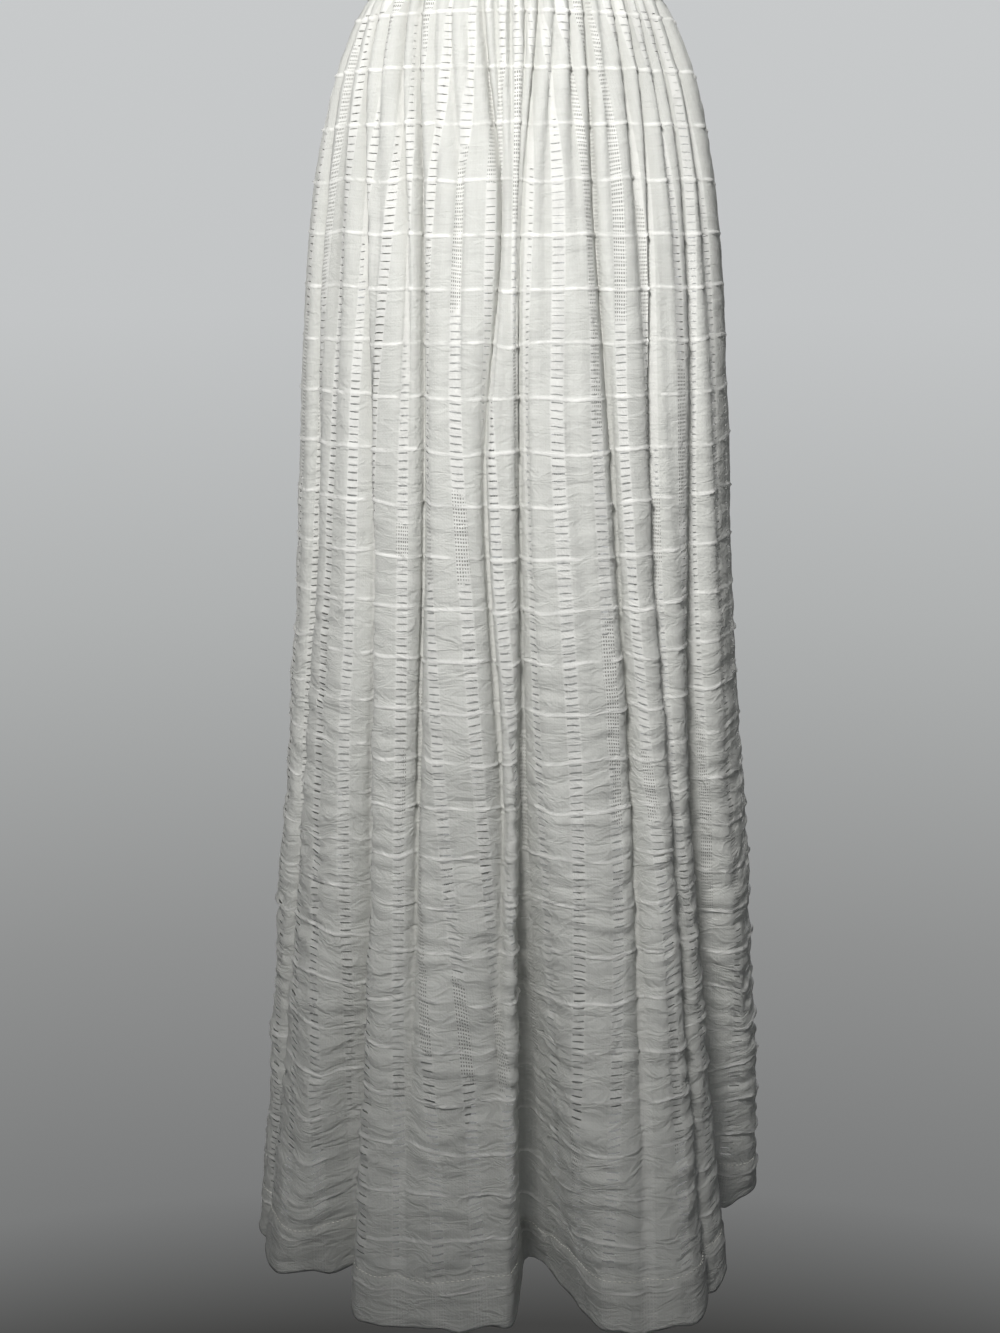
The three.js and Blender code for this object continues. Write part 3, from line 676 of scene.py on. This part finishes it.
def skirt_width(name, node, folds, creases, seed):
    """One skirt width: the form at the cloth's columns, moved out by its relief along the normals. Near a
    side seam the move is straight away from the axis, so front and back meet. The last rows are the hem's,
    inside. Also gives the line of the hem's stitches and the outward directions along it."""
    down_line, kinds = thread_rows(0, SKIRT_LENGTH, FIRST_CORD + CORD_PITCH)
    across_line = thread_columns(LADDERS)
    down = down_line[:, None]
    x, y, crease = skirt_plan(folds, cloth_shares(folds, down, across_line), down)
    across, along = np.broadcast_arrays(across_line[None, :], down)
    lower = ramp(down, SMOOTH_ABOVE, CRUMPLED_BELOW)
    openness = 0.6 + 0.4 * ramp(down, 80, 420) - 0.15 * ramp(down, 600, 900)
    cord, ladder, pale, net, slide, kept = weave_marks(
        across, along, kinds, lower, openness, seed + 9, HEM_LINE)
    kept |= ((down_line[:-1] < SHUT_NEAR_WAIST) | (down_line[1:] > HEM_LINE - 2))[:, None]
    kept |= crease[:-1, :-1] > SHUT_IN_CREASE
    relief = skirt_relief(across, along, crease, cord, ladder, creases, lower, seed)
    form = np.stack([x, y, -BODICE_LENGTH - along], axis=-1)
    normals = outward(form)
    straight_out = unit(form * (1, 1, 0))
    edge = np.minimum(across, CLOTH_WIDTH - across)
    at_seam = (1 - ramp(edge, 0, SEAM_BLEND))[..., None]
    points = form + (normals * (1 - at_seam) + straight_out * at_seam) * relief[..., None]
    points[..., 2] += skirt_sway(across, along, lower, seed) * ramp(edge, 0, 20) - slide
    # Shade painted into the creases, strongest deep in them and none near the hem.
    crease_painted_shade = np.clip(crease, 0, 1) ** 2 * (1 - ramp(down, 700, 1000))
    marks = {"cord": np.minimum(cord, 1), "ladder": pale, "net": net, "crease": crease_painted_shade}
    turned_rows = down_line.size - 2 - np.arange(HEM_ROWS)
    depth_in = np.minimum(HEM_FOLD, 0.5 + 0.4 * np.arange(1, HEM_ROWS + 1))[:, None, None]
    points = np.concatenate([points, points[turned_rows] - normals[turned_rows] * depth_in])
    kept = np.concatenate([kept, np.ones((HEM_ROWS, kept.shape[1]), bool)])
    marks = {label: np.concatenate([grid, grid[turned_rows] * 0]) for label, grid in marks.items()}
    uv_rows = np.concatenate([down_line, 2 * SKIRT_LENGTH - down_line[turned_rows]])[:, None]
    uv = np.stack(np.broadcast_arrays(across_line[None, :], uv_rows), axis=-1)
    piece = add_surface(name, points, kept, uv, marks, cotton)
    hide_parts(node)
    stitch_row_place = int(np.argmin(np.abs(down_line - HEM_LINE)))
    return piece, points[stitch_row_place], normals[stitch_row_place]


front_skirt, front_hem_line, front_hem_out = skirt_width(
    "front_skirt_cloth", "skirt_front", FRONT_FOLDS, FRONT_CREASES, 11)
back_skirt, back_hem_line, back_hem_out = skirt_width(
    "back_skirt_cloth", "skirt_back", BACK_FOLDS, BACK_CREASES, 47)

# %% [markdown]
# The bodice is cut from the same cloth: a front and a back, joined at the shoulders and sides. Its columns
# keep their direction from the waist to the shoulder, so the cloth that the bust needs is gathered in at the
# waist. Its rows follow the real length over the rounded shoulder. Points above the cut edge slide down onto
# it, which gives clean curves at the neck and the armholes.

# %% The bodice's form
# Columns: height above the waist seam, half width, half depth.
BODICE_OVAL = np.array([
    [0, 117, 98],
    [60, 128, 104],
    [130, 146, 118],
    [170, 153, 124],
    [220, 160, 116],
    [410, 158, 104],
])
UNDERARM_HEIGHT = 215
NECK_HALF_WIDTH = 82
SHOULDER_TIP = 138
SHOULDER_SLOPE = 0.34
SHOULDER_ROUNDNESS = 2.4
FRONT_NECK_DROP = 105
BACK_NECK_DROP = 34
ARMHOLE_FULLNESS = 2.6
BUST_HALF_WIDTH, BUST_HALF_DEPTH = 153, 124
TOP_HALF_WIDTH = 158
BODICE_LADDERS = 14
BODICE_WIDTH = BODICE_LADDERS * LADDER_PITCH
OUTLINE_POINTS = 90


def shoulder_line(from_middle):
    """The shoulder seam's height at a distance from the middle: level over the neck, then a straight
    slope."""
    return -np.maximum(from_middle - NECK_HALF_WIDTH, 0) * SHOULDER_SLOPE


def bodice_outline(neck_drop):
    """The cut edge of one half as angles and heights: a quarter ellipse at the neck, the shoulder, and a
    fuller quarter ellipse round the armhole down to the underarm."""
    turn = np.linspace(0, np.pi / 2, OUTLINE_POINTS)
    neck = NECK_HALF_WIDTH * np.sin(turn)
    shoulder = np.linspace(NECK_HALF_WIDTH, SHOULDER_TIP, OUTLINE_POINTS)[1:]
    tip_angle = np.arcsin(SHOULDER_TIP / TOP_HALF_WIDTH)
    tip_height = shoulder_line(SHOULDER_TIP)
    drop = np.sin(turn[1:]) ** (2 / ARMHOLE_FULLNESS)
    out = 1 - np.cos(turn[1:]) ** (2 / ARMHOLE_FULLNESS)
    angles = [np.arcsin(neck / TOP_HALF_WIDTH), np.arcsin(shoulder / TOP_HALF_WIDTH),
              tip_angle + (np.pi / 2 - tip_angle) * out]
    heights = [-neck_drop * np.cos(turn), shoulder_line(shoulder),
               tip_height + (UNDERARM_HEIGHT - BODICE_LENGTH - tip_height) * drop]
    return np.concatenate(angles), np.concatenate(heights)


def bodice_points(angle, height, side):
    """The bodice's outer side: an oval at each height, rounded off towards the shoulder seam."""
    up = height + BODICE_LENGTH
    half_width = smooth_through(BODICE_OVAL[:, 0], BODICE_OVAL[:, 1], up)
    half_depth = smooth_through(BODICE_OVAL[:, 0], BODICE_OVAL[:, 2], up)
    across = half_width * np.sin(angle)
    seam = shoulder_line(np.abs(across))
    below = np.clip((seam - height) / (seam + BODICE_LENGTH - UNDERARM_HEIGHT), 0, 1)
    forward = half_depth * np.cos(angle) * np.sqrt(1 - (1 - below) ** SHOULDER_ROUNDNESS)
    return np.stack([across * side, -side * forward, height], axis=-1)


# Normals are taken a little below the shoulder seam, over small steps along and down.
BELOW_SEAM = 0.6
STEP_ALONG, STEP_DOWN = 0.003, 0.3


def bodice_out(angle, height, seam, side):
    """Unit outward directions on the bodice: a small step down crossed with a small step along."""
    low = np.minimum(height, seam - BELOW_SEAM)
    angle = np.broadcast_to(angle, low.shape)
    lower = low - STEP_DOWN
    ahead = bodice_points(angle + STEP_ALONG, lower, side) - bodice_points(angle - STEP_ALONG, lower, side)
    return unit(np.cross(bodice_points(angle, lower, side) - bodice_points(angle, low, side), ahead))


# %% Bodice cloth
# Columns: place across the cloth, top and bottom, depth, half width, slant; along is measured from the
# shoulder.
BODICE_FRONT_CREASES = np.array([
    [92, 230, 430, 2.6, 7, 12],
    [140, 150, 400, 2, 9, -18],
    [204, 260, 440, 2.4, 6, 8],
    [262, 180, 410, -1.8, 9, -10],
    [318, 240, 440, 2.8, 7, 14],
    [372, 170, 390, 2, 9, -12],
])
BODICE_BACK_CREASES = np.array([
    [80, 210, 420, 2.2, 8, -10],
    [156, 120, 400, 2, 9, 14],
    [236, 240, 440, 2.6, 7, -8],
    [300, 160, 420, -1.8, 9, 12],
    [366, 230, 440, 2.4, 7, -14],
])
BODICE_GATHER = 3.4
BODICE_GATHER_PITCH = 13
BODICE_GATHER_RUN = 85
BODICE_CRUMPLE = 0.15
BODICE_OPENNESS = 0.65
SHUT_NEAR_EDGE = 9
GIRTH_SAMPLES, HEIGHT_SAMPLES = 800, 1600

# The direction in which the length over the shoulder is measured.
SHOULDER_ANGLE = 0.76


def bodice_half(name, node, side, neck_drop, creases, seed):
    """The front of the bodice, side 1, or its back, side -1. Columns are even along the bust's girth and rows
    along the length over the shoulder. Relief dies away at every edge and gathers pull in the waist."""
    outline_angle, outline_height = bodice_outline(neck_drop)
    fine = np.linspace(-np.pi / 2, np.pi / 2, GIRTH_SAMPLES)
    girth = np.hypot(BUST_HALF_WIDTH * np.cos(fine), BUST_HALF_DEPTH * np.sin(fine))
    length = np.concatenate([[0], np.cumsum((girth[1:] + girth[:-1]) / 2 * np.diff(fine))])
    across_line = thread_columns(BODICE_LADDERS)
    angle = np.interp(across_line / BODICE_WIDTH * length[-1], length, fine)[None, :]
    heights = -BODICE_LENGTH * np.linspace(0, 1, HEIGHT_SAMPLES) ** 2
    over_length = length_along(bodice_points(np.full(heights.shape, SHOULDER_ANGLE), heights, 1))
    waist = over_length[-1]
    along_line, kinds = thread_rows(0, waist, waist - FIRST_CORD)
    level = np.interp(along_line, over_length, heights)[:, None]
    seam = shoulder_line(TOP_HALF_WIDTH * np.abs(np.sin(angle)))
    top = np.interp(np.abs(angle), outline_angle, outline_height)
    wanted = seam + level * (BODICE_LENGTH + seam) / BODICE_LENGTH
    height = np.minimum(wanted, top)
    across, along = np.broadcast_arrays(across_line[None, :], along_line[:, None])
    cord, ladder, pale, net, slide, kept = weave_marks(
        across, along, kinds, 0, BODICE_OPENNESS, seed + 9)
    above = wanted >= top
    below_top = top - wanted
    kept |= (below_top[:-1, :-1] < SHUT_NEAR_EDGE) | (along[:-1, :-1] > waist - 10)
    kept &= ~(above[1:, 1:] & above[1:, :-1] & above[:-1, 1:] & above[:-1, :-1])
    edge = np.minimum(across, BODICE_WIDTH - across)
    held = ramp(below_top, 2, 16) * ramp(edge, 0, 12) * ramp(waist - along, 0, 12)
    pull = np.exp(-((waist - along) / BODICE_GATHER_RUN) ** 2)
    sway = 3 * lattice_noise(across, along, 40, 90, seed + 7)
    gathers = np.abs(np.cos(np.pi * (across + sway) / BODICE_GATHER_PITCH)) ** 3 * pull
    gathers = gathers * (0.7 + 0.4 * lattice_noise(across, along, 22, 200, seed + 8))
    relief = 0.7 * cloth_relief(across, along, BODICE_CRUMPLE, seed) + crease_relief(across, along, creases)
    relief = relief * held - BODICE_GATHER * gathers * ramp(edge, 0, 12)
    relief = relief + CORD_RELIEF * cord * ramp(below_top, 1, 6)
    relief = relief - SEAM_TUCK * (1 - ramp(waist - along, 0, 5)) - SEAM_TUCK * (1 - ramp(edge, 0, 4))
    form = bodice_points(np.broadcast_to(angle, height.shape), height, side)
    points = form + bodice_out(angle, height, seam, side) * relief[..., None]
    points[..., 2] -= slide * ramp(below_top, 2, 8)
    # Shade painted into the waist's gathers.
    gather_painted_shade = np.clip(gathers, 0, 1) * held
    marks = {"cord": np.minimum(cord, 1), "ladder": pale, "net": net, "crease": gather_painted_shade}
    uv = np.stack([across, np.where(above, np.interp(-height, -heights, over_length), along)], axis=-1)
    piece = add_surface(name, points, kept, uv, marks, cotton)
    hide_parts(node)
    return piece


front_bodice = bodice_half("front_bodice_cloth", "bodice_front", 1, FRONT_NECK_DROP, BODICE_FRONT_CREASES, 71)
back_bodice = bodice_half("back_bodice_cloth", "bodice_back", -1, BACK_NECK_DROP, BODICE_BACK_CREASES, 83)

# %% [markdown]
# The neck and armhole edges are turned twice and stitched, which makes a flat band 7 mm wide. Each band is an
# oval profile carried round the edge. The stitches are short fat threads set end to end, just inside it.

# %% Edge bands and stitches
BAND_HALF_WIDTH = 3.5
BAND_HALF_THICKNESS = 1.2
PROFILE_SIDES = 10
STITCH_PITCH = 4.2
STITCH_LENGTH = 3.0
STITCH_RADIUS = 0.42
STITCH_SIDES = 6
EDGE_STITCH_FROM_EDGE = 8.5
EDGE_STITCH_LIFT = 0.3
HEM_STITCH_LIFT = 0.4
BAND_PAST_EDGE = 1.2
PATH_STEP = 3
RING_POINTS = 5


def sewn_thread(name):
    """Spun polyester-cotton sewing thread, a little brighter and smoother than the cloth."""
    material = bpy.data.materials.new(name)
    material.use_nodes = True
    tree = material.node_tree
    shader = tree.nodes["Principled BSDF"]
    shader.inputs["Base Color"].default_value = linear("#F6F5EF")
    shader.inputs["Roughness"].default_value = 0.7
    place = add_node(tree, "ShaderNodeUVMap", {"uv_map": "cloth"})
    twist = add_node(tree, "ShaderNodeTexWave", {"Scale": 900, "Distortion": 0.4, "Vector": place})
    bump = add_node(tree, "ShaderNodeBump", {
        "Strength": 0.4, "Distance": 0.2 * MM, "Height": twist.outputs["Fac"]})
    tree.links.new(bump.outputs[0], shader.inputs["Normal"])
    return material


thread = sewn_thread("ivory_sewing_thread")


def edge_frame(angle, height, side):
    """Points on the bodice's surface with the outward direction there."""
    points = bodice_points(angle, height, side)
    return points, bodice_out(angle, height, shoulder_line(np.abs(points[:, 0])), side)


def resampled(path, out, step):
    """The closed path and its outward directions at even steps of about this length."""
    closed = np.concatenate([path, path[:1]])
    out = np.concatenate([out, out[:1]])
    far = length_along(closed)
    count = int(round(far[-1] / step))
    places = np.linspace(0, far[-1], count, endpoint=False)
    outs = at_places(places, far, out)
    outs = sum(np.roll(outs, shift, 0) for shift in (2, 1, 0, -1, -2)) / 5
    return at_places(places, far, closed), unit(outs)


def neck_path():
    """Round the neck: across the front to the wearer's left, then back across the back."""
    parts = []
    for drop, side, inner in ((FRONT_NECK_DROP, 1, slice(None)), (BACK_NECK_DROP, -1, slice(1, -1))):
        angle, height = (half[:OUTLINE_POINTS] for half in bodice_outline(drop))
        angle = np.concatenate([-angle[:0:-1], angle])[inner]
        height = np.concatenate([height[:0:-1], height])[inner]
        parts.append(edge_frame(angle, height, side))
    return resampled(*(np.concatenate(columns) for columns in zip(*parts)), PATH_STEP)


def armhole_path(hand):
    """Round one armhole: down the front from the shoulder tip and up the back; hand is 1 on the +X side."""
    angle, height = (half[2 * OUTLINE_POINTS - 2:] for half in bodice_outline(FRONT_NECK_DROP))
    front = edge_frame(hand * angle, height, 1)
    back = edge_frame(-hand * angle[-2:0:-1], height[-2:0:-1], -1)
    path, out = resampled(*(np.concatenate(halves) for halves in zip(front, back)), PATH_STEP)
    return (path, out) if hand > 0 else (path[::-1], out[::-1])


def onto_cloth(path, out):
    """At each point of a closed path, the direction that leads from the edge onto the cloth."""
    return unit(np.cross(unit(np.roll(path, -1, axis=0) - np.roll(path, 1, axis=0)), out))


def edge_band(name, path, out):
    """A band round an edge: an oval, flat on the cloth, carried along the path."""
    onto = onto_cloth(path, out)
    turn = np.linspace(0, 2 * np.pi, PROFILE_SIDES + 1)[None, :, None]
    centre = (path + onto * (BAND_HALF_WIDTH - BAND_PAST_EDGE))[:, None, :]
    ring = centre + np.cos(turn) * BAND_HALF_WIDTH * onto[:, None, :]
    ring = ring + np.sin(turn) * BAND_HALF_THICKNESS * out[:, None, :]
    ring = np.concatenate([ring, ring[:1]])
    steps = np.arange(len(ring))[:, None] * PATH_STEP
    uv = np.stack(np.broadcast_arrays(steps, np.linspace(0, 20, PROFILE_SIDES + 1)[None, :]), axis=-1)
    blank = np.zeros(ring.shape[:2])
    marks = {"cord": blank, "ladder": blank + 0.5, "net": blank, "crease": blank}
    return add_surface(name, ring, np.ones((len(ring) - 1, PROFILE_SIDES), bool), uv, marks, cotton)


def stitch_row(name, path, out, closed):
    """Stitches along a path: each is a thread from one needle hole to the next, thickest in its middle."""
    ends = np.concatenate([path, path[:1]]) if closed else path
    far = length_along(ends)
    middles = np.arange(STITCH_PITCH, far[-1] - STITCH_PITCH, STITCH_PITCH)
    centre = at_places(middles, far, ends)
    forward = unit(at_places(middles + 0.5, far, ends) - at_places(middles - 0.5, far, ends))
    normal = at_places(middles, far, np.concatenate([out, out[:1]]) if closed else out)
    normal = unit(normal - (normal * forward).sum(1, keepdims=True) * forward)
    beside = np.cross(forward, normal)
    t = np.linspace(-1, 1, RING_POINTS)
    turn = np.linspace(0, 2 * np.pi, STITCH_SIDES + 1)
    thick = STITCH_RADIUS * np.sqrt(1.02 - t**2)[None, :, None, None]
    rise = (STITCH_RADIUS * (0.9 - 1.1 * t**2))[None, :, None, None]
    along = (t * STITCH_LENGTH / 2)[None, :, None, None]
    round_it = np.cos(turn)[None, None, :, None] * beside[:, None, None, :]
    round_it = round_it + np.sin(turn)[None, None, :, None] * normal[:, None, None, :]
    grid = centre[:, None, None, :] + along * forward[:, None, None, :] + rise * normal[:, None, None, :]
    grid = (grid + thick * round_it).reshape(-1, STITCH_SIDES + 1, 3)
    kept = np.ones((len(grid) - 1, STITCH_SIDES), bool)
    kept[RING_POINTS - 1::RING_POINTS] = False
    uv = np.stack(np.broadcast_arrays(np.arange(len(grid))[:, None] * 0.7,
                                      np.linspace(0, 3, STITCH_SIDES + 1)[None, :]), axis=-1)
    return add_surface(name, grid, kept, uv, {}, thread)


edges = {"neck": neck_path(), "left_armhole": armhole_path(1), "right_armhole": armhole_path(-1)}
for name, (path, out) in edges.items():
    row = path + onto_cloth(path, out) * EDGE_STITCH_FROM_EDGE + out * EDGE_STITCH_LIFT
    edge_band(name + "_band", path, out)
    stitch_row(name + "_stitches", row, out, True)
front_hem_stitches = stitch_row(
    "front_hem_stitches", front_hem_line + front_hem_out * HEM_STITCH_LIFT, front_hem_out, False)
back_hem_stitches = stitch_row(
    "back_hem_stitches", back_hem_line + back_hem_out * HEM_STITCH_LIFT, back_hem_out, False)

# %% [markdown]

# %% [markdown]
# A lamp stands about 2 m in front of the dress, high up and a little to the left. Its beam is narrowed and
# aimed at the upper skirt, so the light falls away towards the hem, as it does on the real dress, and its
# steep angle picks out the raised cords and puckers. A lamp behind does the same for the back. The room is a
# plain grey wall that darkens downwards. It is only a background: the light it gives the dress is dimmer.

# %% Light
# Columns: the sine of a view direction's elevation, and the wall's tone there.
WALL_TONES = [
    (-0.56, "#454544"),
    (-0.5, "#7A7B7B"),
    (-0.38, "#909191"),
    (-0.21, "#AFB1B1"),
    (-0.05, "#C3C5C6"),
    (0.3, "#CDCFD0"),
]
FILL_STRENGTH = 0.085


def plain_wall():
    """A grey background by height, which only the camera sees. The dress gets a dim even fill."""
    world = bpy.data.worlds.new("grey_wall")
    world.use_nodes = True
    tree = world.node_tree
    tree.nodes.clear()
    direction = add_node(tree, "ShaderNodeTexCoord").outputs["Generated"]
    height = add_node(tree, "ShaderNodeSeparateXYZ", {"Vector": direction}).outputs["Z"]
    low, high = WALL_TONES[0][0], WALL_TONES[-1][0]
    share = add_node(tree, "ShaderNodeMapRange", {"From Min": low, "From Max": high, "Value": height})
    tones = add_node(tree, "ShaderNodeValToRGB", {"Fac": share})
    ramp_stops = tones.color_ramp.elements
    for i, (place, tone) in enumerate(WALL_TONES):
        at = (place - low) / (high - low)
        stop = ramp_stops[i] if i < 2 else ramp_stops.new(at)
        stop.position, stop.color = at, linear(tone)
    seen = add_node(tree, "ShaderNodeBackground", {"Strength": 1, "Color": tones})
    fill = add_node(tree, "ShaderNodeBackground", {"Strength": FILL_STRENGTH, "Color": linear("#EEF1F4")})
    ray = add_node(tree, "ShaderNodeLightPath").outputs["Is Camera Ray"]
    both = add_node(tree, "ShaderNodeMixShader", {0: ray, 1: fill, 2: seen})
    add_node(tree, "ShaderNodeOutputWorld", {"Surface": both})
    return world


bpy.context.scene.world = plain_wall()
bpy.context.scene.view_settings.view_transform = "Standard"


def area_light(name, place, target, size, spread, power, colour):
    """A round lamp turned to its target. The camera doesn't see it."""
    data = bpy.data.lights.new(name, "AREA")
    data.shape, data.size, data.energy = "DISK", size, power
    data.spread = np.radians(spread)
    data.color = linear(colour)[:3]
    lamp = bpy.data.objects.new(name, data)
    lamp.location = place
    lamp.rotation_euler = (Vector(target) - Vector(place)).to_track_quat("-Z", "Y").to_euler()
    lamp.visible_camera = False
    bpy.context.collection.objects.link(lamp)
    return lamp


# Columns: name, place and target in metres, width in metres, the beam's spread in degrees, watts, colour.
LAMPS = [
    ("high_front_lamp", (-0.45, -2, 0.9), (0.0, -0.1, -0.58), 0.6, 35, 4.3, "#FFFEFB"),
    ("high_back_lamp", (0.5, 2.2, 0.8), (0.0, 0.1, -0.6), 0.7, 48, 6, "#FBFCFF"),
]
print("lamps:", [area_light(*lamp).name for lamp in LAMPS])
